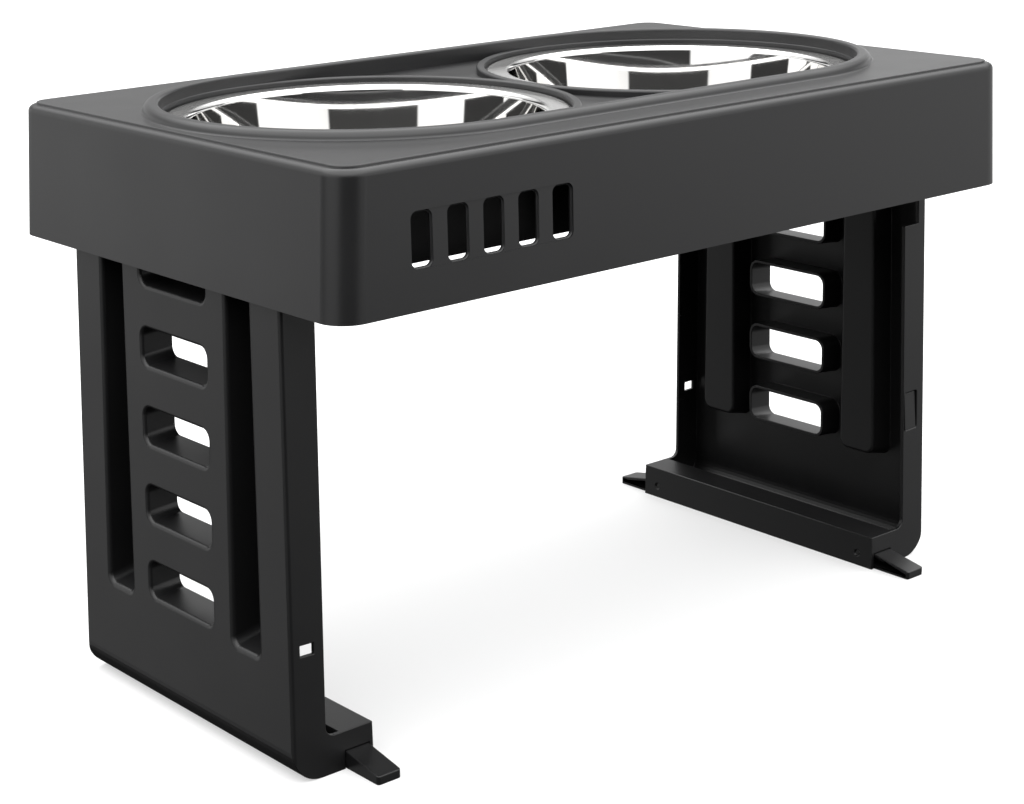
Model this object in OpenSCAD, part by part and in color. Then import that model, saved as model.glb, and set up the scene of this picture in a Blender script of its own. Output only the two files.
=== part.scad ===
// Raised dog feeder: a moulded tray with two lift-out bowls on two plug-in legs.
// The length runs along X, the vented long side faces -Y and the floor is z = 0.

/* [Stand] */
// Height from the floor to the top of the raised surround
stand_h = 300; // [260:1:340]
// Length of the tray across its top edge
tray_l = 449; // [445:1:480]
// Width of the tray across its top edge
tray_w = 270; // [262:1:310]

/* [Tray shell] */
// Height of the skirt below its rounded top edge
skirt_h = 66; // [62:1:80]
// How far each end wall flares out over the height of the skirt
end_flare = 3.9; // [2:0.1:6]
// How far each long wall flares out over the height of the skirt
side_flare = 1.3; // [0.5:0.1:4]
// Radius of the upright corners
corner_r = 14; // [10:0.5:20]
// Radius of the rounded top edge
edge_r = 3.4; // [1:0.1:4]
// Height of the flat deck above the rounded edge
deck_step = 1.2; // [0.6:0.1:2]
// Width of the rounded border that runs round the deck
border_w = 4.2; // [3:0.1:6]
// Thickness of the skirt walls
skirt_t = 2.2; // [1.8:0.1:2.6]
// Thickness of the deck and of the sunken floor
deck_t = 2.5; // [2:0.1:3]

/* [Bowl wells] */
// Height of the raised surround above the deck
ridge_h = 4.2; // [2:0.1:6]
// Width of the raised surround at its foot
ridge_w = 9; // [8:0.1:10]
// Depth of the sunken floor below the deck
well_d = 5.1; // [4:0.1:7]
// Height of the collar round each bowl above the sunken floor
collar_h = 3.5; // [2:0.1:5]
// Thickness of that collar
collar_t = 4.5; // [4:0.1:5]
// Gap between a bowl's rim and its collar
rim_gap = 1.5; // [0.8:0.1:2]
// Gap between a bowl's wall and the edge of its hole
hole_gap = 1.5; // [1:0.1:3]
// Depth of the stiffening lip under that hole and of the cross ribs
lip_h = 4; // [2:0.5:8]
// Height of the two long ribs that hang from the deck beside the wells
brace_h = 49.4; // [30:0.1:56]

/* [Bowls] */
// Outer diameter of a bowl's flange
rim_d = 200; // [192:1:202]
// Width of the flat flange
flange_w = 9.5; // [7:0.5:13]
// Distance between the centres of the two bowls
bowl_pitch = 211; // [208:1:214]
// Inside depth of a bowl
bowl_d = 52; // [35:1:54]
// Thickness of the steel
steel_t = 0.8; // [0.5:0.1:1]
// Radius of the bend from the flange into the wall
bend_r = 3; // [2:0.5:6]
// Radius between the wall and the bottom
bowl_r = 24; // [12:1:30]
// Slope of the wall from upright, in degrees
wall_slope = 6; // [2:1:12]

/* [Vents] */
// Number of vent slots
vents = 5; // [3:1:7]
// Width of one slot
vent_w = 11.6; // [8:0.1:14]
// Height of one slot
vent_h = 25; // [15:0.5:32]
// Distance from one slot to the next
vent_pitch = 20.6; // [18:0.1:24]
// Place of the middle slot along the skirt, from the centre of the tray
vent_x = -140.8; // [-145:0.1:-110]
// Height of the middle of the slots above the lower edge of the skirt
vent_z = 31.5; // [28:0.5:36]
// Radius of the corners of a slot
vent_r = 3.2; // [1:0.1:4]
// Depth of the bars between the slots below the face of the skirt
bar_d = 0.5; // [0.2:0.1:0.8]

/* [Legs] */
// Width of a leg at its top
leg_w = 173; // [165:1:185]
// Depth of a leg from its outer face to the edge of its flanges
leg_d = 19; // [18:0.5:22]
// Wall thickness of a leg
leg_t = 2.2; // [1.8:0.1:2.6]
// How far a leg plugs into the tray
leg_in = 46.5; // [36:0.5:50]
// Outward lean of a leg towards the floor, in degrees
leg_lean = 1.6; // [0.5:0.1:2.5]
// Widening of a leg towards the floor on each side, in degrees
leg_splay = 1.3; // [0.3:0.1:2.5]
// Radius of the upright edges of a leg
leg_edge_r = 2; // [1:0.1:2.5]
// Gap between a leg and its socket
leg_gap = 0.3; // [0.2:0.05:0.6]
// Reach of the lip that holds a flange in its socket
hook_w = 9; // [5:0.5:12]

/* [Leg windows and grooves] */
// Number of windows in a leg
windows = 5; // [3:1:5]
// Width of a window
window_w = 55.6; // [45:0.1:60]
// Height of a window
window_h = 18.6; // [12:0.1:24]
// Distance from one window to the next
window_pitch = 39.9; // [34:0.1:42]
// Height of the middle of the lowest window above the floor
window_z = 69.2; // [60:0.1:74]
// Radius of the corners of a window
window_r = 5; // [3:0.1:8]
// Depth of the sleeve round each window, from the outer face
sleeve_d = 17.7; // [10:0.1:18.5]
// Rise of the sleeves towards the inside of the leg, in degrees
sleeve_rise = 6; // [0:0.5:8]
// Wall thickness of the sleeves and of the groove backs
rib_t = 1.8; // [1.4:0.1:2.2]
// Distance of a groove's upright inner side from the middle of the leg
groove_in = 44.5; // [40:0.5:48]
// Width of the strip between a groove and the side of the leg
groove_edge = 25; // [23:0.5:30]
// Depth of a long groove
groove_d = 16.1; // [8:0.1:16.4]
// Height of a groove's lower end above the floor
groove_z = 56.5; // [48:0.5:62]
// Rise of that end towards the inside of the leg, in degrees
groove_rise = 13; // [0:0.5:16]
// Radius of the corners at a groove's lower end
groove_r = 4; // [2:0.5:6]

/* [Leg catches] */
// Width of the catch openings in one flange
catch_w = 11.3; // [8:0.1:12]
// Height of the lower catch opening
catch_h = 23; // [18:0.5:28]
// Height of its lower end above the floor
catch_z = 78.7; // [70:0.1:90]
// Radius of its corners
catch_r = 1.6; // [0.5:0.1:2.5]
// Height of the lower end of the upper opening, a notch in the edge of the flange
notch_z = 200; // [190:1:215]
// Width of the strip between the lower opening and the edge of the flange
catch_strip = 0.8; // [0.6:0.1:2]
// Gap over the spring tongue in the lower opening and along its inner side
tongue_gap = 0.5; // [0.4:0.1:1.2]
// Gap along its other side
tongue_slot = 1.3; // [0.8:0.1:2]
// How far the tongue's free end stands in from the flange
tongue_set = 0.9; // [0.4:0.1:1.2]
// How far both faces of the tongue lie below the flange at its fixed end
tongue_base = 0.2; // [0.1:0.1:0.5]
// Width of the square hole in the other flange
eye_w = 7.8; // [5:0.1:9]
// Height of that hole
eye_h = 5.6; // [4:0.1:8]
// Height of the middle of that hole above the floor
eye_z = 66.2; // [64:0.1:80]
// Distance of its middle from the outer face of the leg
eye_x = 9.4; // [8.5:0.1:11]
// Thickness of the two small ledges on the inside of that flange
ledge_t = 1.2; // [0.8:0.1:2]
// How far those ledges stand out
ledge_out = 0.6; // [0.3:0.1:1]
// Length of the lower ledge
ledge_low_l = 4; // [3:0.5:8]
// Distance of the lower ledge below the middle of the hole
ledge_drop = 7.5; // [6:0.5:10]
// Length of the upper ledge
ledge_high_l = 10; // [6:0.5:12]
// Distance of the upper ledge above the middle of the hole
ledge_rise = 49; // [40:1:60]

/* [Leg foot] */
// Reach of the foot from the outer face of the leg
foot_l = 47; // [44:0.5:60]
// Height of the foot
foot_h = 19.5; // [18.5:0.5:26]
// Width of the hollow beam along the foot
beam_w = 19; // [18:0.1:21]
// Radius of the outer lower corner of the leg
toe_r = 16; // [10:0.5:22]
// Radius between the flange and the foot
crook_r = 5; // [3:0.5:8]

/* [Stabilisers] */
// Reach of a stabiliser from its pin to its tip
stab_l = 35.5; // [28:0.5:40]
// Height of a stabiliser where it leaves the foot
stab_h = 9.1; // [8.6:0.1:10.5]
// Height of its tip
tip_h = 4.5; // [3.5:0.1:6]
// Radius of the corners of its tip, seen from above
tip_r = 1.6; // [0.5:0.1:2]
// Radius of the knuckle round the pin
knuckle_r = 7.2; // [6:0.1:7.4]
// Wall thickness of a stabiliser
stab_t = 2; // [1.6:0.1:2.2]
// Gap on each side of a stabiliser in its beam
stab_gap = 0.4; // [0.2:0.05:0.8]
// Gap over a stabiliser in its slot
slot_gap = 0.4; // [0.3:0.1:1]
// Height of the pin above the floor
pin_z = 7.5; // [7.5:0.1:8]
// Distance of the pin from the side of the leg
pin_y = 11.2; // [10:0.1:14]
// Diameter of the pin
pin_d = 3; // [2:0.1:4]
// Gap between the pin and the leg, across the diameter
pin_fit = 0.06; // [0.04:0.01:0.1]
// Gap between the pin and the stabiliser, across the diameter
pin_play = 0.16; // [0.08:0.01:0.2]
// How deep the ends of the pin lie below the faces of the beam
pin_set = 0.8; // [0.4:0.1:1.2]

/* [Hidden] */
$fn = 96;
hull_fn = 48;
cut = 1;
deck_z = stand_h - ridge_h;
edge_z = deck_z - deck_step;
skirt_z = edge_z - skirt_h;
deck_low = deck_z - deck_t;
well_z = deck_z - well_d;
well_low = well_z - deck_t;
flange_z = well_z + steel_t;
rim_r = rim_d / 2;
body_r = rim_r - flange_w;
collar_in = rim_r + rim_gap;
collar_out = collar_in + collar_t;
hole_r = body_r + hole_gap;
ridge_in = collar_in + 0.5;
ridge_out = ridge_in + ridge_w;
bowl_x = bowl_pitch / 2;
end_angle = atan(end_flare / skirt_h);
side_angle = atan(side_flare / skirt_h);
leg_top = skirt_z + leg_in;
socket_x = tray_l / 2 + (edge_z - leg_top) * tan(end_angle) - skirt_t;
leg_top_x = socket_x - leg_gap;
leg_foot_x = leg_top_x + leg_top * tan(leg_lean);
hook_x = leg_top_x - leg_d - leg_gap;
guide_y = leg_half(skirt_z) + leg_gap;
stop_y = groove_out(leg_top) + rib_t / 2;
beam_out = foot_l - beam_w;
slot_lo = beam_out + leg_t;
slot_hi = foot_l - leg_t;
slot_top = stab_h + slot_gap;
stab_w = slot_hi - slot_lo - 2 * stab_gap;
stab_x = (slot_lo + slot_hi) / 2;
stab_y = leg_half(0) - pin_y;
stab_top = stab_h - pin_z;
stab_low = stab_top - (stab_h - tip_h);
rib_places = [-bowl_x, 0, bowl_x];
brace_y = ridge_out + rib_t;
catch_x = leg_d - catch_strip - catch_w;
pin_l = beam_w - 2 * pin_set;
ledges = [[eye_z - ledge_drop, ledge_low_l], [eye_z + ledge_rise, ledge_high_l]];
window_top = leg_top - window_h / 2 - rib_t;
rows = [for (z = [window_z:window_pitch:window_z + (windows - 0.5) * window_pitch]) if (z < window_top) z];

// Half the width of a leg at a height above the floor
function leg_half(z) = leg_w / 2 + (leg_top - z) * tan(leg_splay);

// Inset of a leg's outer face at a height above the floor
function lean_at(z) = z * tan(leg_lean);

// Distance of a groove's outer side from the middle of the leg at a height above the floor
function groove_out(z) = leg_half(z) - groove_edge;

// Points of an arc about a centre
function arc(c, r, a0, a1, n = 12) =
    [for (i = [0:n]) c + r * [cos(a0 + (a1 - a0) * i / n), sin(a0 + (a1 - a0) * i / n)]];

// Rectangle with rounded corners, centred
module round_rect(w, h, r) {
    square([w - 2 * r, h], center = true);
    square([w, h - 2 * r], center = true);
    for (x = [-1, 1], y = [-1, 1])
        translate([x * (w / 2 - r), y * (h / 2 - r)]) circle(r);
}

// Two circles about the bowls joined by straight sides
module stadium(r) {
    square([bowl_pitch, 2 * r], center = true);
    for (x = [-1, 1]) translate([x * bowl_x, 0]) circle(r);
}

// Shape drawn across the leg and up it, pushed inwards from the outer face
module through_leg(from, to) {
    translate([from, 0, 0]) rotate([90, 0, 90]) linear_extrude(to - from) children();
}

// Shape drawn on the outer face, pushed inwards between two depths along a line that rises from a height
module rising(z, angle, from, to) {
    intersection() {
        translate([0, 0, z]) rotate([0, -angle, 0]) translate([0, 0, -z])
            through_leg(-leg_d, leg_d + leg_top * sin(angle)) children();
        through_leg(from, to) translate([-leg_w, 0]) square([2 * leg_w, 2 * leg_top]);
    }
}

// Shape drawn inwards from the outer face and up the leg, pushed across it
module along_leg(half) {
    translate([0, half, 0]) rotate([90, 0, 0]) linear_extrude(2 * half) children();
}

// Flared block with rounded corners and a rounded top edge
module flared_block(l, w, r, top, low, round_r) {
    $fn = hull_fn;
    drop = edge_z - low;
    hull() for (x = [-1, 1], y = [-1, 1]) {
        translate([x * (l / 2 - r), y * (w / 2 - r), top - round_r])
            rotate_extrude()
                polygon(concat([[0, 0]], arc([r - round_r, 0], round_r, 0, 90, 6), [[0, round_r]]));
        translate([x * (l / 2 - r + drop * tan(end_angle)), y * (w / 2 - r + drop * tan(side_angle)), low])
            cylinder(r = r, h = 0.01);
    }
}

// Outline of the raised surround, inner wall on the left
module surround_outline() {
    top_r = 1.4;
    foot = 1;
    polygon(concat(
        [[ridge_in, well_low], [ridge_in, stand_h - top_r]],
        arc([ridge_in + top_r, stand_h - top_r], top_r, 180, 90, 6),
        arc([ridge_out - ridge_h - foot, deck_z], ridge_h, 90, 20, 8),
        [[ridge_out, deck_z], [ridge_out, deck_low], [ridge_out - deck_t, deck_low],
        [ridge_out - ridge_h, stand_h - deck_t], [ridge_in + deck_t, stand_h - deck_t],
        [ridge_in + deck_t, well_low]]));
}

// Raised surround that follows both bowls
module surround() {
    for (x = [-1, 1]) {
        intersection() {
            translate([x * bowl_x, 0, 0]) rotate_extrude() surround_outline();
            translate([x * bowl_x + (x > 0 ? 0 : -2 * ridge_out), -2 * ridge_out, 0])
                cube([2 * ridge_out, 4 * ridge_out, stand_h + cut]);
        }
        rotate([0, 0, x > 0 ? 0 : 180]) translate([-bowl_x, 0, 0]) rotate([90, 0, 90])
            linear_extrude(bowl_pitch) surround_outline();
    }
}

// Collar round one bowl, with the stiffening lip under its hole
module collar() {
    top_r = 1.2;
    z = well_z + collar_h;
    rotate_extrude() polygon(concat([[collar_in, well_low + cut], [collar_in, z - top_r]],
        arc([collar_in + top_r, z - top_r], top_r, 180, 90, 4),
        arc([collar_out - top_r, z - top_r], top_r, 90, 0, 4), [[collar_out, well_low + cut]]));
    rotate_extrude() polygon([[hole_r, well_low - lip_h], [hole_r + skirt_t, well_low - lip_h],
        [hole_r + skirt_t, well_low + cut], [hole_r, well_low + cut]]);
}

// Vent slots, seen from the front
module vent_slots() {
    for (i = [0:vents - 1])
        translate([(i - (vents - 1) / 2) * vent_pitch, 0]) round_rect(vent_w, vent_h, vent_r);
}

// Places a shape on the sloping front skirt, pushed in to a depth
module on_front(depth) {
    face_y = tray_w / 2 + (edge_z - skirt_z - vent_z) * tan(side_angle);
    translate([vent_x, -face_y, skirt_z + vent_z]) rotate([90 - side_angle, 0, 0])
        translate([0, 0, -depth]) linear_extrude(depth + 3 * cut) children();
}

// Two hooked guides and two stops under the deck that hold one leg
module socket() {
    reach = tray_l / 2 + end_flare - hook_x;
    low = skirt_z + cut;
    high = deck_low + cut;
    for (y = [0, 1]) mirror([0, y, 0]) translate([-hook_x - reach + skirt_t, 0, 0]) {
        translate([0, guide_y, low]) cube([reach, skirt_t, high - low]);
        translate([reach - skirt_t, guide_y + skirt_t - hook_w, low]) cube([skirt_t, hook_w, high - low]);
        translate([0, stop_y - skirt_t / 2, leg_top]) cube([reach, skirt_t, high - leg_top]);
    }
}

// Low ribs across the underside of the tray and two deep ones along it
module ribs() {
    low = well_low - lip_h;
    deck_y = ridge_out - deck_t;
    for (y = [-1, 1]) translate([-tray_l / 2, y * brace_y - rib_t / 2, deck_low - brace_h])
        cube([tray_l, rib_t, brace_h + cut]);
    for (x = rib_places) translate([x - rib_t / 2, 0, low]) {
        translate([0, -tray_w / 2, 0]) cube([rib_t, tray_w, lip_h + cut]);
        for (y = [0, 1]) mirror([0, y, 0]) translate([0, deck_y, 0])
            cube([rib_t, tray_w / 2 - deck_y, deck_low + cut - low]);
    }
}

// Tray with its deck, wells, collars, vents and leg sockets
module tray() {
    inner_l = tray_l - 2 * skirt_t;
    inner_w = tray_w - 2 * skirt_t;
    color("#3a3a3c") difference() {
        union() {
            difference() {
                union() {
                    flared_block(tray_l, tray_w, corner_r, edge_z, skirt_z, edge_r);
                    translate([0, 0, deck_low]) linear_extrude(deck_t)
                        round_rect(tray_l - 2 * border_w, tray_w - 2 * border_w, corner_r - border_w);
                }
                flared_block(inner_l, inner_w, corner_r - skirt_t, deck_low, skirt_z - cut, edge_r);
                translate([0, 0, deck_low - cut]) linear_extrude(deck_t + 2 * cut)
                    stadium(ridge_out - 2 * cut);
            }
            surround();
            translate([0, 0, well_low]) linear_extrude(deck_t) stadium(ridge_in + 1);
            for (x = [-1, 1]) translate([x * bowl_x, 0, 0]) collar();
            intersection() {
                union() {
                    for (a = [0, 180]) rotate([0, 0, a]) socket();
                    ribs();
                }
                flared_block(tray_l - skirt_t, tray_w - skirt_t, corner_r, deck_z, skirt_z, edge_r);
            }
        }
        for (x = [-1, 1]) translate([x * bowl_x, 0, well_low - lip_h - cut])
            cylinder(r = hole_r, h = lip_h + deck_t + 2 * cut);
        for (x = [-1, 1]) translate([x * bowl_x, 0, well_z])
            cylinder(r = collar_in, h = stand_h);
        on_front(skirt_t + 2 * cut) vent_slots();
        on_front(bar_d) square([(vents - 1) * vent_pitch, vent_h], center = true);
    }
}

// Section of a bowl: one face for an offset of 0, the other for the steel's thickness
function bowl_face(o) =
    let (low_z = flange_z - bowl_d,
        bend = [body_r, flange_z - bend_r],
        bend_end = bend + bend_r * [-cos(wall_slope), sin(wall_slope)],
        knee_z = low_z + bowl_r,
        knee_end_z = knee_z - bowl_r * sin(wall_slope),
        knee_end_r = bend_end[0] - (bend_end[1] - knee_end_z) * tan(wall_slope),
        knee = [knee_end_r - bowl_r * cos(wall_slope), knee_z])
    concat([[rim_r, flange_z - o]],
        arc(bend, bend_r - o, 90, 180 - wall_slope, 8),
        arc(knee, bowl_r + o, -wall_slope, -90, 16),
        [[0, low_z - o]]);

// Steel bowl that rests on the sunken floor by its flange
module bowl(side) {
    inside = bowl_face(0);
    outside = bowl_face(steel_t);
    turned = [for (i = [len(outside) - 1:-1:0]) outside[i]];
    color("#d6d6d4") translate([side * bowl_x, 0, 0]) rotate_extrude() polygon(concat(inside, turned));
}

module bowl_left() { bowl(-1); }
module bowl_right() { bowl(1); }

// Trapezoid of a leg seen from outside, drawn in by a wall
module leg_front(inset) {
    z1 = leg_top + (inset > 0 ? cut : 0);
    z0 = inset > 0 ? -cut : 0;
    polygon([[-leg_half(z0) + inset, z0], [leg_half(z0) - inset, z0],
        [leg_half(z1) - inset, z1], [-leg_half(z1) + inset, z1]]);
}

// Outer line of the leg from its top round the toe, drawn in by a wall
function toe_line(inset) =
    let (c = [toe_r / cos(leg_lean) + lean_at(toe_r), toe_r], r = toe_r - inset,
        offset_x = inset / cos(leg_lean))
    concat([[lean_at(leg_top) + offset_x, leg_top]], arc(c, r, 180 - leg_lean, 270, 12));

// Section of the leg's sheet: panel, toe, floor and the hollow beam
module leg_section() {
    inner = toe_line(leg_t);
    back = [for (i = [len(inner) - 1:-1:0]) inner[i]];
    polygon(concat(toe_line(0), [[slot_lo, 0], [slot_lo, foot_h - leg_t], [slot_hi, foot_h - leg_t],
        [slot_hi, 0], [foot_l, 0], [foot_l, foot_h], [beam_out, foot_h], [beam_out, leg_t]], back));
}

// Side plate of the leg: flange and foot in one, with the slot for a stabiliser
module leg_side() {
    edge_x = lean_at(leg_top) + leg_d;
    crook = [lean_at(foot_h + crook_r) + leg_d + crook_r, foot_h + crook_r];
    difference() {
        polygon(concat(toe_line(0), [[foot_l, 0], [foot_l, foot_h]],
            arc(crook, crook_r, 270, 180, 8), [[edge_x, leg_top]]));
        translate([slot_lo, -cut]) square([slot_hi - slot_lo, slot_top + cut]);
    }
}

// Outline of one groove: an upright inner side, an outer side along the leg's own and a rounded lower end
module groove_shape(side, grow, top) {
    r = groove_r + grow;
    low = groove_z - grow;
    in_y = groove_in - grow;
    out_y = groove_out(low + r) + grow;
    mirror([side > 0 ? 0 : 1, 0]) {
        polygon([[in_y, low + r], [out_y, low + r], [groove_out(top) + grow, top], [in_y, top]]);
        translate([in_y + r, low]) square([out_y - in_y - 2 * r, r + cut / 10]);
        for (y = [in_y + r, out_y - r]) translate([y, low + r]) circle(r);
    }
}

// Cutter that rounds one upright outer edge of a leg
module edge_cutter(side) {
    run = [lean_at(leg_top), -side * leg_top * tan(leg_splay), leg_top];
    size = norm(run);
    translate([0, side * leg_half(0), 0])
        rotate([-asin(run[1] / size), atan2(run[0], run[2]), 0])
        translate([0, 0, -3 * cut]) linear_extrude(size + 6 * cut) difference() {
            translate([-cut, side > 0 ? -leg_edge_r : -cut]) square([leg_edge_r + cut, leg_edge_r + cut]);
            translate([leg_edge_r, -side * leg_edge_r]) circle(leg_edge_r);
        }
}

// Spring tongue in the catch opening, fixed at its lower end
module tongue() {
    free_l = catch_h - tongue_gap;
    thick = leg_t - 2 * tongue_base;
    translate([catch_x + tongue_gap, leg_half(catch_z) - tongue_base, catch_z])
        rotate([leg_splay + atan(tongue_set / free_l), 0, 0])
        translate([0, -thick, -cut / 2])
        cube([catch_w - tongue_gap - tongue_slot, thick, free_l + cut / 2]);
}

// Catch openings in the +Y flange and the square hole in the -Y flange
module flange_holes() {
    across = 3 * leg_t;
    difference() {
        translate([catch_x + catch_w / 2, leg_half(catch_z) + leg_t, catch_z + catch_h / 2])
            rotate([90, 0, 0]) linear_extrude(across) round_rect(catch_w, catch_h, catch_r);
        tongue();
    }
    translate([catch_x, leg_half(notch_z) - 2 * leg_t, notch_z])
        cube([catch_w + catch_strip + cut, across, leg_in]);
    translate([eye_x - eye_w / 2, -leg_half(eye_z) - leg_t, eye_z - eye_h / 2]) cube([eye_w, across, eye_h]);
}

// Small ledges on the inside of the -Y flange
module flange_ledges() {
    for (spot = ledges)
        translate([leg_d - spot[1] - ledge_t / 2, cut - leg_half(spot[0]), spot[0] - ledge_t / 2])
            cube([spot[1], leg_t + ledge_out - cut, ledge_t]);
}

// Sheet of the leg with its side plates and the backs of its grooves and windows
module leg_blank() {
    half = leg_half(0) + cut;
    deep = foot_l + cut;
    intersection() {
        along_leg(half) leg_section();
        through_leg(-cut, deep) leg_front(0);
    }
    intersection() {
        along_leg(half) leg_side();
        through_leg(-cut, deep) difference() {
            leg_front(0);
            leg_front(leg_t);
        }
    }
    intersection() {
        rotate([0, leg_lean, 0]) {
            for (s = [-1, 1]) rising(groove_z, groove_rise, leg_t / 2, groove_d + rib_t)
                groove_shape(s, rib_t, leg_top + 2 * cut);
            for (z = rows) rising(z, sleeve_rise, leg_t / 2, sleeve_d) translate([0, z])
                round_rect(window_w + 2 * rib_t, window_h + 2 * rib_t, window_r + rib_t);
        }
        through_leg(0, deep) leg_front(0);
    }
    rotate([0, leg_lean, 0]) {
        tongue();
        flange_ledges();
    }
}

// Leg with its outer face at x = 0 on the floor and its inside towards +X
module leg() {
    color("#2e2e30") difference() {
        leg_blank();
        rotate([0, leg_lean, 0]) {
            for (s = [-1, 1]) rising(groove_z, groove_rise, -leg_t, groove_d)
                groove_shape(s, 0, leg_top + 4 * cut);
            for (z = rows) rising(z, sleeve_rise, -leg_t, leg_d) translate([0, z])
                round_rect(window_w, window_h, window_r);
            flange_holes();
        }
        for (s = [-1, 1]) edge_cutter(s);
        for (s = [-1, 1]) translate([beam_out - cut, s * stab_y, pin_z]) rotate([0, 90, 0])
            cylinder(d = pin_d + pin_fit, h = beam_w + 2 * cut);
        for (s = [-1, 1]) translate([foot_l - pin_set, s * stab_y, pin_z]) rotate([0, 90, 0])
            cylinder(d = pin_d + 1, h = pin_set + cut);
    }
}

module leg_left() { translate([-leg_foot_x, 0, 0]) leg(); }
module leg_right() { rotate([0, 0, 180]) leg_left(); }

// Side view of a stabiliser about its pin, reaching towards +Y
module stabiliser_shape() {
    circle(knuckle_r);
    polygon([knuckle_r * [cos(255), sin(255)], [2 * stab_t, -pin_z], [stab_l, -pin_z],
        [stab_l, stab_low], [pin_y, stab_top], [0, stab_top]]);
}

// Side view of its pocket, one wall inside that shape
module stabiliser_pocket() {
    low = stab_t - pin_z;
    in_y = knuckle_r + stab_t / 2;
    end_y = stab_l - stab_t;
    polygon([[in_y, low], [end_y, low], [end_y, max(stab_low - stab_t, low + stab_t / 4)],
        [pin_y, stab_top - stab_t], [in_y, stab_top - stab_t]]);
}

// Hollow fold-out foot, open on the side that faces the middle of the stand
module stabiliser() {
    in_x = stab_x - stab_w / 2;
    out_x = stab_x + stab_w / 2;
    color("#2e2e30") difference() {
        intersection() {
            through_leg(in_x, out_x) stabiliser_shape();
            translate([stab_x, 0, -pin_z - cut]) linear_extrude(pin_z + knuckle_r + 2 * cut)
                round_rect(stab_w, 2 * stab_l, tip_r);
        }
        through_leg(in_x + stab_t, out_x + cut) stabiliser_pocket();
        translate([in_x - cut, 0, 0]) rotate([0, 90, 0])
            cylinder(d = pin_d + pin_play, h = stab_w + 2 * cut);
    }
}

// Steel pin held by both walls of the beam
module pin() {
    color("#9a9a9a") translate([beam_out + pin_set, 0, 0]) rotate([0, 90, 0]) cylinder(d = pin_d, h = pin_l);
}

// Places a foot's piece on one leg, at its front for a y of -1 and its back for 1
module at_foot(side, y) {
    rotate([0, 0, side < 0 ? 0 : 180]) translate([-leg_foot_x, 0, 0])
        mirror([0, y * side < 0 ? 0 : 1, 0]) translate([0, stab_y, pin_z]) children();
}

module stabiliser_left_front() { at_foot(-1, -1) stabiliser(); }
module stabiliser_left_back() { at_foot(-1, 1) stabiliser(); }
module stabiliser_right_front() { at_foot(1, -1) stabiliser(); }
module stabiliser_right_back() { at_foot(1, 1) stabiliser(); }
module pin_left_front() { at_foot(-1, -1) pin(); }
module pin_left_back() { at_foot(-1, 1) pin(); }
module pin_right_front() { at_foot(1, -1) pin(); }
module pin_right_back() { at_foot(1, 1) pin(); }

tray();
bowl_left();
bowl_right();
leg_left();
leg_right();
stabiliser_left_front();
stabiliser_left_back();
stabiliser_right_front();
stabiliser_right_back();
pin_left_front();
pin_left_back();
pin_right_front();
pin_right_back();
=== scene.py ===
from math import atan, copysign, cos, pi, radians, sin, tan

import bmesh
import bpy
from mathutils import Matrix, Vector


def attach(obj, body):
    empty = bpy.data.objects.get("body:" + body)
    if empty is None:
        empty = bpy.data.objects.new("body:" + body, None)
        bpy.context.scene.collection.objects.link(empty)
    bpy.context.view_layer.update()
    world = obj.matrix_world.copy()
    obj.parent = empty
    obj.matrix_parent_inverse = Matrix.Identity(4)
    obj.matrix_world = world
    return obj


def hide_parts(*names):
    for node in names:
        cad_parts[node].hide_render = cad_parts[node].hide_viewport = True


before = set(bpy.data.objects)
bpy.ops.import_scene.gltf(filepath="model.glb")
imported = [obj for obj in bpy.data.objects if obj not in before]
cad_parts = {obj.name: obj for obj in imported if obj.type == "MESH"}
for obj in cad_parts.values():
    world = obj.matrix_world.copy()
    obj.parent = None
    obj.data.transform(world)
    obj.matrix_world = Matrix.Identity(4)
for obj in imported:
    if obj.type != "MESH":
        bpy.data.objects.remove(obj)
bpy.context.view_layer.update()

scene = bpy.context.scene

# Sizes in millimetres, as in the part's source. The meshes are made in millimetres too.

MM = 0.001
STAND_H = 300

# Skirt and deck
TRAY_L = 449
TRAY_W = 270
SKIRT_H = 66
SKIRT_T = 2.2
DECK_T = 2.5
END_FLARE = 3.9
SIDE_FLARE = 1.3
CORNER_R = 14
EDGE_R = 3.4
LOWER_EDGE_R = 0.4
DECK_STEP = 1.2
BORDER_W = 4.2

# Step from the border up to the deck, as (inset past the border, rise)
STEP_CURVE = ((-0.35, 0), (-0.05, 0.15), (0.05, DECK_STEP - 0.45), (0.2, DECK_STEP - 0.12),
              (0.5, DECK_STEP))

# Raised surround, wells and collars
RIDGE_H = 4.2
RIDGE_IN = 102
RIDGE_OUT = 111
RIDGE_TOP_R = 1.4
RIDGE_FOOT = 1
RIDGE_SEAT = 2
WELL_D = 5.1
COLLAR_IN = 101.5
COLLAR_OUT = 106
COLLAR_H = 3.5
COLLAR_TOP_R = 1.2
HOLE_R = 92
LIP_H = 4
LIP_PROUD = 0.02

# Ribs, and the guides, hooks and stops of the legs
RIB_T = 1.8
BRACE_Y = 112.8
BRACE_H = 49.4
HOOK_X = 203.85
HOOK_W = 9
GUIDE_Y = 87.9
STOP_Y = 62.4
LEG_TOP = 275.1
RIB_LIFT = 1
WALL_SINK = 1.4
ROOF_SINK = 0.5

# Vents, and the face set back between them
VENTS = 5
VENT_W = 11.6
VENT_H = 25
VENT_R = 3.2
VENT_MOUTH_R = 0.8
VENT_PITCH = 20.6
VENT_X = -140.8
VENT_Z = 31.5
BAR_D = 0.5

# Bowls
BOWL_X = 105.5
RIM_R = 100
FLANGE_W = 9.5
BOWL_D = 52
STEEL_T = 0.8
BEND_R = 3
KNEE_R = 24
WALL_SLOPE = radians(6)

# Legs: their lean, the foot of the outer face, and the reach of windows and grooves
LEAN = radians(1.6)
LEG_FOOT_X = 230.8365
WINDOW_REACH = 30
GROOVE_NEAR = 42
GROOVE_FAR = 70
BOX_FAR = 74
BOX_DEPTH = 17
BEAM_TOP = 30
ON_FACE = 0.05

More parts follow.
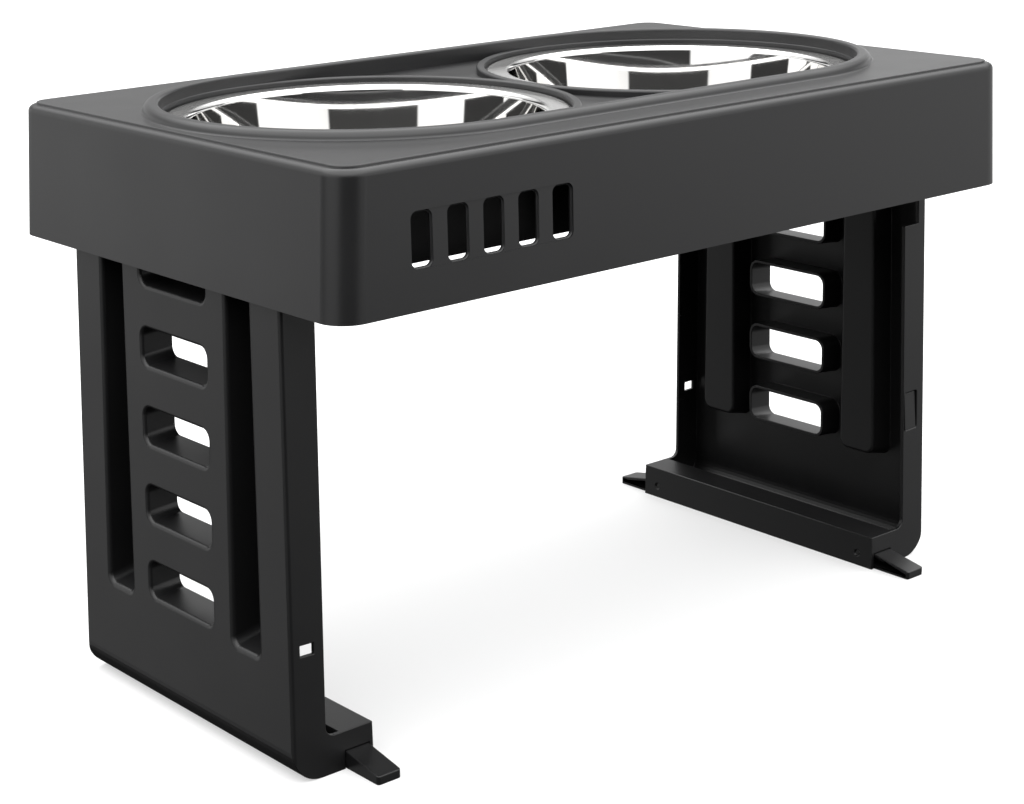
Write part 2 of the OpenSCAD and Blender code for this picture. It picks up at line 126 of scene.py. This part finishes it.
# Heights and angles that follow
DECK_Z = STAND_H - RIDGE_H
DECK_LOW = DECK_Z - DECK_T
EDGE_Z = DECK_Z - DECK_STEP
SKIRT_Z = EDGE_Z - SKIRT_H
WELL_Z = DECK_Z - WELL_D
WELL_LOW = WELL_Z - DECK_T
FLANGE_Z = WELL_Z + STEEL_T
SIDE_ANGLE = atan(SIDE_FLARE / SKIRT_H)

# Steps along curves, from a whole turn about a bowl to the smallest roundings
CIRCLE_STEPS = 160
KNEE_STEPS = 32
CORNER_STEPS = 14
EDGE_STEPS = 12
RIDGE_STEPS = 10
RIM_STEPS = 8
VENT_STEPS = 8
SMALL_STEPS = 6
LOWER_EDGE_STEPS = 3

# Cutters reach this far past what they cut, and joined shapes this far into each other
CLEAR = 3
OVERLAP = 1

# Points this near are one, in new meshes and in copies of the solids
SAME_PLACE = 1e-3
CAD_SAME_PLACE = 2e-3
TINY = 1e-6

# Angles between faces: flat, worth a rounding, and shown as a sharp edge
FLAT_TURN = radians(0.3)
ROUNDED_TURN = radians(28)
SHARP_TURN = radians(50)

# Faces above this area are flat sheets, not parts of a curve
FLAT_AREA = 200


# Materials

def new_material(name):
    mat = bpy.data.materials.new(name)
    mat.use_nodes = True
    return mat, mat.node_tree, mat.node_tree.nodes["Principled BSDF"]


def noise(tree, vector, scale, detail, roughness=0.5):
    """Cloudy value from 0 to 1."""
    node = tree.nodes.new("ShaderNodeTexNoise")
    node.inputs["Scale"].default_value = scale
    node.inputs["Detail"].default_value = detail
    node.inputs["Roughness"].default_value = roughness
    tree.links.new(vector, node.inputs["Vector"])
    return node.outputs["Fac"]


def ranged(tree, value, start, end, low, high, kind="SMOOTHSTEP"):
    """Value that goes from low at the start to high at the end."""
    node = tree.nodes.new("ShaderNodeMapRange")
    node.interpolation_type = kind
    node.inputs["From Min"].default_value = start
    node.inputs["From Max"].default_value = end
    node.inputs["To Min"].default_value = low
    node.inputs["To Max"].default_value = high
    tree.links.new(value, node.inputs["Value"])
    return node.outputs["Result"]


def reckoned(tree, operation, *values):
    """Result of a sum or product of sockets and numbers."""
    node = tree.nodes.new("ShaderNodeMath")
    node.operation = operation
    for socket, value in zip(node.inputs, values):
        if isinstance(value, (int, float)):
            socket.default_value = value
        else:
            tree.links.new(value, socket)
    return node.outputs["Value"]


def add_bump(tree, shader, height, strength, distance):
    node = tree.nodes.new("ShaderNodeBump")
    node.inputs["Strength"].default_value = strength
    node.inputs["Distance"].default_value = distance
    tree.links.new(height, node.inputs["Height"])
    tree.links.new(node.outputs["Normal"], shader.inputs["Normal"])


def moulded_plastic(name, colour, roughness, specular):
    """Black moulded plastic: a fine eroded grain, a cloudy sheen and a slightly uneven colour."""
    mat, tree, shader = new_material(name)
    place = tree.nodes.new("ShaderNodeTexCoord").outputs["Object"]
    cloud = noise(tree, place, scale=22, detail=3)

    tint = tree.nodes.new("ShaderNodeMix")
    tint.data_type = "RGBA"
    tint.inputs["A"].default_value = (*[c * 0.86 for c in colour], 1)
    tint.inputs["B"].default_value = (*[c * 1.14 for c in colour], 1)
    tree.links.new(cloud, tint.inputs["Factor"])
    tree.links.new(tint.outputs["Result"], shader.inputs["Base Color"])

    sheen = ranged(tree, cloud, 0, 1, roughness - 0.04, roughness + 0.05, "LINEAR")
    tree.links.new(sheen, shader.inputs["Roughness"])
    eroded = noise(tree, place, scale=900, detail=4, roughness=0.6)
    add_bump(tree, shader, eroded, strength=0.12, distance=0.0002)
    shader.inputs["IOR"].default_value = 1.47
    shader.inputs["Specular IOR Level"].default_value = specular
    return mat


def bowl_steel():
    """Polished steel: mirror-bright inside with a faint drawn waviness, and a satin flange."""
    mat, tree, shader = new_material("bowl steel")
    place = tree.nodes.new("ShaderNodeTexCoord").outputs["Object"]
    parts = tree.nodes.new("ShaderNodeSeparateXYZ")
    tree.links.new(place, parts.inputs["Vector"])

    polish = ranged(tree, parts.outputs["Z"], (FLANGE_Z - 1.2) * MM, (FLANGE_Z - 0.1) * MM, 0.02, 0.2)
    haze = noise(tree, place, scale=60, detail=2)
    rough = reckoned(tree, "MULTIPLY_ADD", haze, 0.03, polish)
    tree.links.new(rough, shader.inputs["Roughness"])
    wave = noise(tree, place, scale=14, detail=1)
    add_bump(tree, shader, wave, strength=0.25, distance=0.0006)
    shader.inputs["Base Color"].default_value = (0.88, 0.875, 0.865, 1)
    shader.inputs["Metallic"].default_value = 1
    return mat


def pin_steel():
    """Darkened drawn steel with faint lines along it."""
    mat, tree, shader = new_material("pin steel")
    stretch = tree.nodes.new("ShaderNodeMapping")
    stretch.inputs["Scale"].default_value = (40, 1600, 1600)
    place = tree.nodes.new("ShaderNodeTexCoord").outputs["Object"]
    tree.links.new(place, stretch.inputs["Vector"])

    lines = noise(tree, stretch.outputs["Vector"], scale=1, detail=2)
    rough = ranged(tree, lines, 0, 1, 0.4, 0.6, "LINEAR")
    tree.links.new(rough, shader.inputs["Roughness"])
    shader.inputs["Base Color"].default_value = (0.06, 0.06, 0.06, 1)
    shader.inputs["Metallic"].default_value = 1
    return mat


TRAY_PLASTIC = moulded_plastic("tray plastic", (0.011, 0.011, 0.0115), roughness=0.36, specular=0.5)
LEG_PLASTIC = moulded_plastic("leg plastic", (0.0075, 0.0075, 0.0078), roughness=0.36, specular=0.43)
# Darker, duller copy of the tray plastic for the ribs: painted shade, so the inside seen through the
# vents reads near black
SHADED_RIB_PLASTIC = moulded_plastic("rib plastic, painted shade", (0.005, 0.005, 0.0052), roughness=0.5, specular=0.2)
BOWL_STEEL = bowl_steel()
PIN_STEEL = pin_steel()


# Making pieces

def finish_piece(bm, name, body, material, slot, *nodes):
    """A piece in metres from a mesh in millimetres, smooth but for its sharp edges."""
    for edge in bm.edges:
        edge.smooth = len(edge.link_faces) == 2 and edge.calc_face_angle(0) < SHARP_TURN
    for face in bm.faces:
        face.smooth = face.calc_area() < FLAT_AREA
    bmesh.ops.scale(bm, vec=(MM, MM, MM), verts=bm.verts)
    mesh = bpy.data.meshes.new(name)
    bm.to_mesh(mesh)
    bm.free()
    piece = bpy.data.objects.new(name, mesh)
    scene.collection.objects.link(piece)
    mesh.materials.append(material)
    even = piece.modifiers.new("even shading", "WEIGHTED_NORMAL")
    even.mode = "FACE_AREA"
    even.weight = 100
    even.keep_sharp = True
    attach(piece, body)
    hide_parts(*nodes)


def cad_copy(node):
    """Mesh of a CAD node in millimetres, with its doubles merged and its flat faces joined."""
    bm = bmesh.new()
    bm.from_mesh(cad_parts[node].data)
    bmesh.ops.scale(bm, vec=(1 / MM, 1 / MM, 1 / MM), verts=bm.verts)
    bmesh.ops.remove_doubles(bm, verts=bm.verts, dist=CAD_SAME_PLACE)
    bmesh.ops.dissolve_limit(bm, angle_limit=FLAT_TURN, verts=bm.verts, edges=bm.edges)
    return bm


def round_edges(bm, width, segments, chosen=lambda edge: True):
    """Bevels the chosen edges, all of them at first, where their faces turn enough."""
    edges = [e for e in bm.edges
             if len(e.link_faces) == 2 and e.calc_face_angle(0) > ROUNDED_TURN and chosen(e)]
    bmesh.ops.bevel(bm, geom=edges, offset=width, offset_type="OFFSET", segments=segments,
                    profile=0.5, affect="EDGES", material=-1, clamp_overlap=False)


def arc(centre, radius, start, end, count):
    """Points along an arc of a section, its ends among them."""
    turns = [start + (end - start) * i / count for i in range(count + 1)]
    return [(centre[0] + radius * cos(t), centre[1] + radius * sin(t)) for t in turns]


def section_edges(bm, points, centre_x):
    """Edges through the points of a section, as (radius, height) beside a bowl's axis."""
    verts = [bm.verts.new((centre_x + r, 0, z)) for r, z in points]
    return verts, [bm.edges.new(pair) for pair in zip(verts, verts[1:])]


def spin_round(bm, geom, centre_x):
    """Spins a section once round a bowl's axis."""
    bmesh.ops.spin(bm, geom=geom, cent=(centre_x, 0, 0), axis=(0, 0, 1), angle=2 * pi,
                   steps=CIRCLE_STEPS, use_merge=True)


def rounded_plate(length, width, radius, steps):
    """One flat face in the shape of a rectangle with rounded corners, about the origin."""
    bm = bmesh.new()
    bmesh.ops.create_grid(bm, x_segments=1, y_segments=1, size=1)
    bmesh.ops.scale(bm, vec=(length / 2, width / 2, 1), verts=bm.verts)
    bmesh.ops.bevel(bm, geom=bm.verts[:], offset=radius, offset_type="OFFSET", segments=steps,
                    profile=0.5, affect="VERTICES", material=-1)
    bm.faces.ensure_lookup_table()
    return bm


def step_face(bm, face, inset, rise):
    """Draws a face in by an inset and out by a rise, and gives its new place."""
    if inset:
        bmesh.ops.inset_region(bm, faces=[face], thickness=inset, depth=rise,
                               use_even_offset=True, use_boundary=True)
        return face
    raised = bmesh.ops.extrude_discrete_faces(bm, faces=[face])["faces"][0]
    bmesh.ops.translate(bm, vec=raised.normal * rise, verts=raised.verts)
    return raised


def follow(bm, face, profile):
    """Steps a face along a profile of (inset, rise) points that starts at the face's edge."""
    for (inset, rise), (next_inset, next_rise) in zip(profile, profile[1:]):
        face = step_face(bm, face, next_inset - inset, next_rise - rise)


def combined(bm, other, operation):
    """One mesh from two closed ones."""
    objects = []
    for part in (bm, other):
        mesh = bpy.data.meshes.new("part")
        part.to_mesh(mesh)
        part.free()
        objects.append(bpy.data.objects.new("part", mesh))
        scene.collection.objects.link(objects[-1])
    joined = objects[0].modifiers.new("join", "BOOLEAN")
    joined.operation = operation
    joined.solver = "EXACT"
    joined.use_self = operation == "UNION"
    joined.object = objects[1]
    result = bmesh.new()
    result.from_object(objects[0], bpy.context.evaluated_depsgraph_get())
    for obj in objects:
        mesh = obj.data
        bpy.data.objects.remove(obj)
        bpy.data.meshes.remove(mesh)
    return result


def add_mesh(bm, other, turn=Matrix()):
    """Adds a second mesh, turned into place, to the first."""
    mesh = bpy.data.meshes.new("part")
    other.transform(turn)
    other.to_mesh(mesh)
    other.free()
    bm.from_mesh(mesh)
    bpy.data.meshes.remove(mesh)


def made_verts(geom):
    """The vertices that an operator made."""
    return [g for g in geom if isinstance(g, bmesh.types.BMVert)]


def made_edges(geom):
    """The edges that an operator made."""
    return [g for g in geom if isinstance(g, bmesh.types.BMEdge)]


def block(bm, low, high):
    """Upright block between two corners."""
    size = [b - a for a, b in zip(low, high)]
    middle = [(a + b) / 2 for a, b in zip(low, high)]
    made = bmesh.ops.create_cube(bm, size=1)
    bmesh.ops.scale(bm, vec=size, verts=made["verts"])
    bmesh.ops.translate(bm, vec=middle, verts=made["verts"])


def stadium(bm, radius, low, high):
    """Upright block with two round ends about the bowls."""
    made = bmesh.ops.create_circle(bm, cap_ends=True, segments=CIRCLE_STEPS, radius=radius)["verts"]
    for vert in made:
        if abs(vert.co.x) > TINY:
            vert.co.x += copysign(BOWL_X, vert.co.x)
        vert.co.z = low
    grown = bmesh.ops.extrude_face_region(bm, geom=[made[0].link_faces[0]])["geom"]
    bmesh.ops.translate(bm, vec=(0, 0, high - low), verts=made_verts(grown))


def disc(bm, x, radius, low, high):
    """Upright cylinder about a bowl's centre."""
    middle = Matrix.Translation((x, 0, (low + high) / 2))
    bmesh.ops.create_cone(bm, cap_ends=True, segments=CIRCLE_STEPS, radius1=radius, radius2=radius,
                          depth=high - low, matrix=middle)


def closed(*shapes):
    """Mesh of one or more closed shapes with their faces outwards."""
    bm = bmesh.new()
    for shape, *sizes in shapes:
        shape(bm, *sizes)
    bmesh.ops.recalc_face_normals(bm, faces=bm.faces)
    return bm


# Bowls

def bowl_face(offset):
    """One face of a bowl's section from flange to centre, an offset below the inner one."""
    floor_z = FLANGE_Z - BOWL_D
    bend = (RIM_R - FLANGE_W, FLANGE_Z - BEND_R)
    bend_end = (bend[0] - BEND_R * cos(WALL_SLOPE), bend[1] + BEND_R * sin(WALL_SLOPE))
    knee_z = floor_z + KNEE_R
    knee_end_z = knee_z - KNEE_R * sin(WALL_SLOPE)
    knee_end_r = bend_end[0] - (bend_end[1] - knee_end_z) * tan(WALL_SLOPE)
    knee = (knee_end_r - KNEE_R * cos(WALL_SLOPE), knee_z)
    return (arc(bend, BEND_R - offset, pi / 2, pi - WALL_SLOPE, EDGE_STEPS)
            + arc(knee, KNEE_R + offset, -WALL_SLOPE, -pi / 2, KNEE_STEPS)
            + [(0, floor_z - offset)])


def bowl(x, name):
    edge_r = STEEL_T / 2
    rim = arc((RIM_R - edge_r, FLANGE_Z - edge_r), edge_r, -pi / 2, pi / 2, RIM_STEPS)
    section = list(reversed(bowl_face(STEEL_T))) + rim + bowl_face(0)
    bm = bmesh.new()
    verts, edges = section_edges(bm, section, x)
    spin_round(bm, verts + edges, x)
    bmesh.ops.remove_doubles(bm, verts=bm.verts, dist=SAME_PLACE)
    bmesh.ops.recalc_face_normals(bm, faces=bm.faces)
    finish_piece(bm, name + "_steel", name, BOWL_STEEL, "bowl_steel", name)


# Tray

def skirt_sheet(bm, length, width, radius, shoulder_z, profile):
    """Sheet that follows a profile up from its shoulder and flares out below it."""
    sheet = rounded_plate(length, width, radius, CORNER_STEPS)
    bmesh.ops.translate(sheet, vec=(0, 0, shoulder_z), verts=sheet.verts)
    face = sheet.faces[0]
    if face.normal.z < 0:
        face.normal_flip()
    follow(sheet, face, profile)
    rim = [e for e in sheet.edges if e.is_boundary]
    for vert in made_verts(bmesh.ops.extrude_edge_only(sheet, edges=rim)["geom"]):
        vert.co += Vector((copysign(END_FLARE, vert.co.x), copysign(SIDE_FLARE, vert.co.y), 0))
        vert.co.z = SKIRT_Z
    add_mesh(bm, sheet)


def tray_skin():
    """Skirt, rounded top edge, border and deck, hollow underneath."""
    bm = bmesh.new()
    bead = [(EDGE_R - r, z) for r, z in arc((0, 0), EDGE_R, 0, pi / 2, EDGE_STEPS)]
    step = [(BORDER_W + inset, EDGE_R + rise) for inset, rise in STEP_CURVE]
    skirt_sheet(bm, TRAY_L, TRAY_W, CORNER_R, EDGE_Z - EDGE_R, bead + step)
    skirt_sheet(bm, TRAY_L - 2 * SKIRT_T, TRAY_W - 2 * SKIRT_T, CORNER_R - SKIRT_T,
                DECK_LOW - EDGE_R, bead)
    rims = [e for e in bm.edges if e.is_boundary]
    lower_edge = bmesh.ops.bridge_loops(bm, edges=rims)["faces"]
    rims = [e for e in bm.edges if all(abs(v.co.z - SKIRT_Z) < TINY for v in e.verts)
            and sum(f in lower_edge for f in e.link_faces) == 1]
    bmesh.ops.bevel(bm, geom=rims, offset=LOWER_EDGE_R, offset_type="OFFSET",
                    segments=LOWER_EDGE_STEPS, profile=0.5, affect="EDGES", material=-1)
    bmesh.ops.recalc_face_normals(bm, faces=bm.faces)
    return bm


def vent_slot():
    """Cutter of one vent about the skirt's face at height 0, with a rounded mouth."""
    grow, start = VENT_MOUTH_R / 2, 2
    bm = rounded_plate(VENT_W + 2 * grow, VENT_H + 2 * grow, VENT_R + grow, VENT_STEPS)
    bmesh.ops.translate(bm, vec=(0, 0, start), verts=bm.verts)
    face = bm.faces[0]
    if face.normal.z > 0:
        face.normal_flip()
    mouth = [(VENT_MOUTH_R - r, start + BAR_D + z)
             for r, z in arc((0, 0), VENT_MOUTH_R, 0, pi / 2, SMALL_STEPS)]
    follow(bm, face, [(0, 0)] + mouth + [(VENT_MOUTH_R, start + 2 * SKIRT_T)])
    bmesh.ops.holes_fill(bm, edges=[e for e in bm.edges if e.is_boundary])
    bmesh.ops.recalc_face_normals(bm, faces=bm.faces)
    return bm


def vent_cutters():
    """Cutters of the face that is set back between the vents, and of the vents."""
    face_y = TRAY_W / 2 + (SKIRT_H - VENT_Z) * tan(SIDE_ANGLE)
    place = Matrix.Translation((VENT_X, -face_y, SKIRT_Z + VENT_Z))
    turn = place @ Matrix.Rotation(pi / 2 - SIDE_ANGLE, 4, "X")
    reach_x = (VENTS - 1) / 2 * VENT_PITCH
    reach_z = VENT_H / 2 + VENT_MOUTH_R / 2
    bar = closed((block, (-reach_x, -reach_z, -BAR_D), (reach_x, reach_z, CLEAR)))
    bar.transform(turn)
    slots = bmesh.new()
    for i in range(VENTS):
        add_mesh(slots, vent_slot(), turn @ Matrix.Translation((i * VENT_PITCH - reach_x, 0, 0)))
    return bar, slots


def round_section():
    """Section of the raised surround: inner wall, rounded top, curved foot and hollow back."""
    foot_turn = pi / 12
    foot_r = RIDGE_H * sin(foot_turn) / (1 - sin(foot_turn))
    side = (RIDGE_OUT - RIDGE_H - RIDGE_FOOT, DECK_Z)
    foot = (side[0] + (RIDGE_H + foot_r) * cos(foot_turn), DECK_Z + foot_r)
    top = (RIDGE_IN + RIDGE_TOP_R, STAND_H - RIDGE_TOP_R)
    return ([(RIDGE_IN, WELL_LOW)]
            + arc(top, RIDGE_TOP_R, pi, pi / 2, SMALL_STEPS)
            + arc(side, RIDGE_H, pi / 2, foot_turn, RIDGE_STEPS)
            + arc(foot, foot_r, pi + foot_turn, 3 * pi / 2, SMALL_STEPS)[1:]
            + [(RIDGE_OUT, DECK_LOW), (RIDGE_OUT - DECK_T, DECK_LOW),
               (RIDGE_OUT - RIDGE_H, STAND_H - DECK_T), (RIDGE_IN + DECK_T, STAND_H - DECK_T),
               (RIDGE_IN + DECK_T, WELL_LOW)])


def surround():
    """The surround's section, spun half round one bowl, drawn along and spun half round the other."""
    bm = bmesh.new()
    verts = [bm.verts.new((BOWL_X, -r, z)) for r, z in round_section()]
    geom = verts + [bm.edges.new(pair) for pair in zip(verts, verts[1:] + verts[:1])]
    for x in (BOWL_X, -BOWL_X):
        last = bmesh.ops.spin(bm, geom=geom, cent=(x, 0, 0), axis=(0, 0, 1), angle=pi,
                              steps=CIRCLE_STEPS // 2)["geom_last"]
        drawn = bmesh.ops.extrude_edge_only(bm, edges=made_edges(last))["geom"]
        bmesh.ops.translate(bm, vec=(-2 * x, 0, 0), verts=made_verts(drawn))
        geom = made_verts(drawn) + made_edges(drawn)
    bmesh.ops.remove_doubles(bm, verts=bm.verts, dist=SAME_PLACE)
    bmesh.ops.recalc_face_normals(bm, faces=bm.faces)
    return bm


def tray_shell():
    """Deck, skirt, surround and well floor in one."""
    bm = tray_skin()
    for cutter in vent_cutters():
        bm = combined(bm, cutter, "DIFFERENCE")
    well = closed((stadium, RIDGE_OUT - RIDGE_SEAT, DECK_LOW - CLEAR, DECK_Z + CLEAR))
    bm = combined(bm, well, "DIFFERENCE")
    bm = combined(bm, surround(), "UNION")
    holes = closed(*[(disc, x, HOLE_R, WELL_LOW - CLEAR, WELL_Z + CLEAR) for x in (-BOWL_X, BOWL_X)])
    well_floor = combined(closed((stadium, RIDGE_IN + OVERLAP, WELL_LOW, WELL_Z)), holes, "DIFFERENCE")
    bm = combined(bm, well_floor, "UNION")
    bmesh.ops.recalc_face_normals(bm, faces=bm.faces)
    finish_piece(bm, "tray_shell", "tray", TRAY_PLASTIC, "tray_plastic", "tray")


def collar_ring(x, name):
    """Low collar about a bowl's flange, with the lip under the bowl's hole."""
    top, foot = WELL_Z + COLLAR_H - COLLAR_TOP_R, WELL_LOW + OVERLAP
    collar = ([(COLLAR_IN, foot)]
              + arc((COLLAR_IN + COLLAR_TOP_R, top), COLLAR_TOP_R, pi, pi / 2, SMALL_STEPS)
              + arc((COLLAR_OUT - COLLAR_TOP_R, top), COLLAR_TOP_R, pi / 2, 0, SMALL_STEPS)
              + [(COLLAR_OUT, foot)])
    lip_in, lip_out, lip_low = HOLE_R - LIP_PROUD, HOLE_R + SKIRT_T, WELL_LOW - LIP_H
    lip = [(lip_in, lip_low), (lip_out, lip_low), (lip_out, foot), (lip_in, foot)]
    bm = bmesh.new()
    for points in (collar, lip):
        verts, edges = section_edges(bm, points, x)
        edges.append(bm.edges.new((verts[-1], verts[0])))
        spin_round(bm, verts + edges, x)
    bmesh.ops.recalc_face_normals(bm, faces=bm.faces)
    finish_piece(bm, name, "tray", TRAY_PLASTIC, "tray_plastic", "tray")


def about(middle, thickness):
    """The two ends of a wall's thickness about its middle."""
    return middle - thickness / 2, middle + thickness / 2


def box_between(*ends):
    """Block from its two ends along each axis, in either order."""
    return block, tuple(min(e) for e in ends), tuple(max(e) for e in ends)


def tray_ribs():
    """Ribs under the deck, and the guides, hooks and stops that hold the legs."""
    lip_low, roof, guide_low = WELL_LOW - LIP_H, DECK_LOW + ROOF_SINK, SKIRT_Z + RIB_LIFT
    wall_x, wall_y, deck_y = TRAY_L / 2 - WALL_SINK, TRAY_W / 2 - WALL_SINK, RIDGE_OUT - DECK_T
    guide_out, hook_in = GUIDE_Y + SKIRT_T, HOOK_X - SKIRT_T
    shapes = []
    for y in (-1, 1):
        shapes.append(box_between((-wall_x, wall_x), about(y * BRACE_Y, RIB_T),
                                  (DECK_LOW - BRACE_H, roof)))
    for x in (-BOWL_X, 0, BOWL_X):
        for y in (-1, 1):
            shapes.append(box_between(about(x, RIB_T), (y * deck_y, y * wall_y), (lip_low, roof)))
    for x in (-BOWL_X, BOWL_X):
        for y in (-1, 1):
            shapes.append(box_between(about(x, RIB_T), (y * (HOLE_R + OVERLAP), y * (deck_y + OVERLAP)),
                                      (lip_low, WELL_LOW + ROOF_SINK)))
    for side in (-1, 1):
        wall = side * wall_x
        for y in (-1, 1):
            guide = box_between((side * HOOK_X, wall), (y * GUIDE_Y, y * guide_out), (guide_low, roof))
            hook = box_between((side * HOOK_X, side * hook_in),
                               (y * (guide_out - HOOK_W), y * guide_out), (guide_low, roof))
            stop = box_between((side * hook_in, wall), about(y * STOP_Y, SKIRT_T), (LEG_TOP, roof))
            shapes += [guide, hook, stop]
    bm = closed(*shapes)
    for vert in bm.verts:
        if abs(vert.co.x) > wall_x - SAME_PLACE:
            vert.co.x += copysign(END_FLARE * (EDGE_Z - vert.co.z) / SKIRT_H, vert.co.x)
    # The ribs take the darker copy of the tray plastic, which is painted shade inside the tray
    finish_piece(bm, "tray_ribs", "tray", SHADED_RIB_PLASTIC, "tray_plastic", "tray")


# Legs

def leg(side, name):
    """A leg's CAD mesh with rounded window sleeves, grooves and groove backs."""
    bm = cad_copy(name)

    def depth(vert):
        """Distance of a point from the leg's leaning outer face."""
        return (LEG_FOOT_X - side * vert.co.x - vert.co.z * tan(LEAN)) * cos(LEAN)

    def on_face(edge):
        return all(abs(depth(v)) < ON_FACE for v in edge.verts)

    def between(edge, near, far):
        return all(near < abs(v.co.y) < far and v.co.z > BEAM_TOP for v in edge.verts)

    def at_window(edge):
        return all(abs(v.co.y) < WINDOW_REACH for v in edge.verts) and on_face(edge)

    def at_groove(edge):
        return between(edge, GROOVE_NEAR, GROOVE_FAR) and on_face(edge)

    def at_groove_back(edge):
        return (edge.is_convex and between(edge, GROOVE_NEAR, BOX_FAR)
                and all(depth(v) > BOX_DEPTH for v in edge.verts))

    round_edges(bm, width=1.8, segments=5, chosen=at_window)
    round_edges(bm, width=2.2, segments=5, chosen=at_groove)
    round_edges(bm, width=1.6, segments=5, chosen=at_groove_back)
    round_edges(bm, width=0.35, segments=2)
    finish_piece(bm, name + "_shell", name, LEG_PLASTIC, "leg_plastic", name)


def stabiliser(name):
    bm = cad_copy(name)
    round_edges(bm, width=0.5, segments=3)
    finish_piece(bm, name + "_shell", name, LEG_PLASTIC, "leg_plastic", name)


def pin(name, body):
    bm = cad_copy(name)
    round_edges(bm, width=0.3, segments=2)
    finish_piece(bm, name + "_rod", body, PIN_STEEL, "pin_steel", name)


bowl(-BOWL_X, "bowl_left")
bowl(BOWL_X, "bowl_right")
tray_shell()
collar_ring(-BOWL_X, "tray_collar_left")
collar_ring(BOWL_X, "tray_collar_right")
tray_ribs()
leg(-1, "leg_left")
leg(1, "leg_right")
for side in ("left", "right"):
    for end in ("front", "back"):
        stabiliser(f"stabiliser_{side}_{end}")
        pin(f"pin_{side}_{end}", f"leg_{side}")


# Stage, in metres

def floor():
    """Plain pale floor, which lights nothing and is mirrored in nothing."""
    bm = bmesh.new()
    bmesh.ops.create_grid(bm, x_segments=1, y_segments=1, size=12)
    mesh = bpy.data.meshes.new("floor")
    bm.to_mesh(mesh)
    bm.free()
    piece = bpy.data.objects.new("floor", mesh)
    scene.collection.objects.link(piece)
    mat, _, shader = new_material("pale floor")
    shader.inputs["Base Color"].default_value = (0.45, 0.45, 0.45, 1)
    shader.inputs["Roughness"].default_value = 0.9
    shader.inputs["Specular IOR Level"].default_value = 0
    shader.inputs["Emission Color"].default_value = (1, 1, 1, 1)
    shader.inputs["Emission Strength"].default_value = 0.46
    mesh.materials.append(mat)
    piece.visible_glossy = False
    piece.visible_diffuse = False


def soft_window(tree, value, middle, half, soft):
    """One within a half width of the middle, falling softly to nothing."""
    away = reckoned(tree, "ABSOLUTE", reckoned(tree, "SUBTRACT", value, middle))
    return ranged(tree, away, half, half + soft, 1, 0)


def studio_light():
    """Pale studio all round, with darker screens and soft lamps that only the stand sees.

    Each is (bearing, half width, softness, height, half height, softness, factor, added light).
    Bearings are in degrees from the stand's length towards its back, heights the sine of the angle.
    """
    screens = (
        # Far side, dimmed low down and overhead for the deck, with a dark bar for the bowls' far walls
        (52, 60, 35, -0.05, 0.2, 0.06, 0.6, 0),
        (44, 58, 4, 0.26, 0.06, 0.02, 0.05, 0),
        (52, 60, 35, 0.4, 0.05, 0.15, 0.5, 0),
        # Dark screens beside the camera and at both ends, for the dark shapes in the bowls
        (-118, 33, 3, -0.05, 0.3, 0.05, 0.03, 0),
        (-22, 11, 4, 0.03, 0.09, 0.03, 0.05, 0),
        (136, 8, 4, 0.03, 0.09, 0.03, 0.05, 0),
        # Dark low screen for the inner side of the right leg
        (142, 10, 4, -0.4, 0.38, 0.05, 0.03, 0),
        # Low lamps for the left side, for the right of the front, and for the right end of the deck
        (125, 6, 7, -0.2, 0.22, 0.1, 1, 0.8),
        (-8, 24, 24, -0.2, 0.22, 0.1, 1, 0.35),
        (33, 6, 6, 0.1, 0.1, 0.05, 1, 0.6))
    under, around, overhead = 0.03, 1.5, 2
    world = bpy.data.worlds.new("studio")
    scene.world = world
    world.use_nodes = True
    tree = world.node_tree
    parts = tree.nodes.new("ShaderNodeSeparateXYZ")
    tree.links.new(tree.nodes.new("ShaderNodeTexCoord").outputs["Generated"], parts.inputs["Vector"])
    bearing = reckoned(tree, "ARCTAN2", parts.outputs["Y"], parts.outputs["X"])
    height = parts.outputs["Z"]
    total = ranged(tree, height, -0.28, -0.02, under, around)
    for turn, width, turn_soft, middle, reach, height_soft, factor, added in screens:
        across = soft_window(tree, bearing, radians(turn), radians(width), radians(turn_soft))
        up = soft_window(tree, height, middle, reach, height_soft)
        window = reckoned(tree, "MULTIPLY", across, up)
        kept = reckoned(tree, "MULTIPLY_ADD", window, factor - 1, 1)
        total = reckoned(tree, "MULTIPLY", total, kept)
        total = reckoned(tree, "MULTIPLY_ADD", window, added, total)
    total = reckoned(tree, "ADD", total, ranged(tree, height, 0.4, 0.75, 0, overhead))
    backdrop = tree.nodes.new("ShaderNodeLightPath").outputs["Is Camera Ray"]
    total = reckoned(tree, "MAXIMUM", total, backdrop)
    sky = tree.nodes["Background"]
    tree.links.new(total, sky.inputs["Color"])
    sky.inputs["Strength"].default_value = 1


def camera():
    """Camera at the photograph's place, solved from the edges of the tray and the legs.

    Angles are in radians, what belongs to the picture is in its pixels, places in millimetres.
    """
    yaw, pitch, roll = -0.68006, 0.29451, -0.02176
    picture_w, focal, shift_x, shift_y = 1024, 2142.456, 88.863, 4.502
    aim, away, aside, below = Vector((0, 0, 139.5)), 1164.77, 57.016, 21.325
    ahead = Vector((-sin(yaw) * cos(pitch), cos(yaw) * cos(pitch), -sin(pitch)))
    across = Vector((cos(yaw), sin(yaw), 0))
    above = across.cross(ahead)
    right = cos(roll) * across + sin(roll) * above
    up = -sin(roll) * across + cos(roll) * above
    data = bpy.data.cameras.new("camera")
    data.lens = focal / picture_w * data.sensor_width
    data.shift_x = shift_x / picture_w
    data.shift_y = shift_y / picture_w
    piece = bpy.data.objects.new("camera", data)
    turn = Matrix((right, up, -ahead)).transposed().to_4x4()
    place = aim - away * ahead - aside * right - below * up
    piece.matrix_world = Matrix.Translation(place * MM) @ turn
    scene.collection.objects.link(piece)
    scene.camera = piece


floor()
studio_light()
camera()
scene.view_settings.view_transform = "Standard"
scene.view_settings.look = "None"
